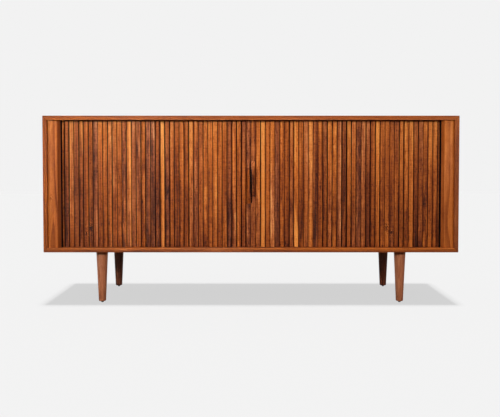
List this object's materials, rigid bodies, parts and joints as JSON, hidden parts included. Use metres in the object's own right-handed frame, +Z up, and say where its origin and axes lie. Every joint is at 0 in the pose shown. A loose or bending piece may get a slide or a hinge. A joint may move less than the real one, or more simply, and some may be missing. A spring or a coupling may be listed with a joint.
{
  "type": "tambour door cabinet",
  "caption": "Low walnut cabinet on tapered round legs, with a mitred case, shelves and slatted tambour doors that slide sideways round the corners by sculpted centre pulls.",
  "frame": {"origin": "on the floor under the middle of the case", "axes": "+X along the front to the right as seen from the front, +Y from the front to the back, +Z up"},
  "size_m": [1.8, 0.46, 0.822],
  "materials": {
    "walnut_panel": "oiled American walnut, straight grain along each board, satin",
    "walnut_slat": "oiled walnut slats with upright grain, each of its own tone, some with pale sapwood, satin",
    "walnut_inside": "walnut veneer, satin",
    "walnut_leg": "turned solid walnut, oiled, satin",
    "beech_ply": "bare beech plywood",
    "black_stain": "walnut stained black, matt",
    "zinc_steel": "zinc plated steel",
    "black_plastic": "black nylon, matt"
  },
  "bodies": {
    "case": {"top_panel": "walnut_panel", "bottom_panel": "walnut_panel", "left_side_panel": "walnut_panel", "right_side_panel": "walnut_panel", "left_jamb": "walnut_panel", "right_jamb": "walnut_panel", "back_panel": "walnut_inside", "left_side_lining": "walnut_inside", "right_side_lining": "walnut_inside", "back_lining": "walnut_inside", "left_divider": "walnut_inside", "right_divider": "walnut_inside", "left_shelf": "walnut_inside", "middle_shelf": "walnut_inside", "right_shelf": "walnut_inside", "front_left_leg": "walnut_leg", "front_right_leg": "walnut_leg", "back_left_leg": "walnut_leg", "back_right_leg": "walnut_leg", "front_left_hanger_bolt": "zinc_steel", "front_left_threaded_insert": "zinc_steel", "front_right_hanger_bolt": "zinc_steel", "front_right_threaded_insert": "zinc_steel", "back_left_hanger_bolt": "zinc_steel", "back_left_threaded_insert": "zinc_steel", "back_right_hanger_bolt": "zinc_steel", "back_right_threaded_insert": "zinc_steel", "left_shelf_pin_1": "zinc_steel", "left_shelf_pin_2": "zinc_steel", "left_shelf_pin_3": "zinc_steel", "left_shelf_pin_4": "zinc_steel", "middle_shelf_pin_1": "zinc_steel", "middle_shelf_pin_2": "zinc_steel", "middle_shelf_pin_3": "zinc_steel", "middle_shelf_pin_4": "zinc_steel", "right_shelf_pin_1": "zinc_steel", "right_shelf_pin_2": "zinc_steel", "right_shelf_pin_3": "zinc_steel", "right_shelf_pin_4": "zinc_steel", "front_left_glide": "black_plastic", "front_right_glide": "black_plastic", "back_left_glide": "black_plastic", "back_right_glide": "black_plastic", "left_jamb_fillet": "black_stain", "right_jamb_fillet": "black_stain", "top_left_spline": "beech_ply", "top_right_spline": "beech_ply", "bottom_left_spline": "beech_ply", "bottom_right_spline": "beech_ply"},
    "left_door": {"left_lead_slat": "walnut_slat", "left_pull": "walnut_slat", "left_tambour_curtain": "walnut_slat"},
    "right_door": {"right_lead_slat": "walnut_slat", "right_pull": "walnut_slat", "right_tambour_curtain": "walnut_slat"}
  },
  "joints": [
    {"name": "left_door_slide", "type": "slide", "parent": "case", "child": "left_door", "axis": [-1, 0, 0], "range_m": [0, 0.8], "deforming": ["left_tambour_curtain"]},
    {"name": "right_door_slide", "type": "slide", "parent": "case", "child": "right_door", "axis": [1, 0, 0], "range_m": [0, 0.8], "deforming": ["right_tambour_curtain"]}
  ]
}
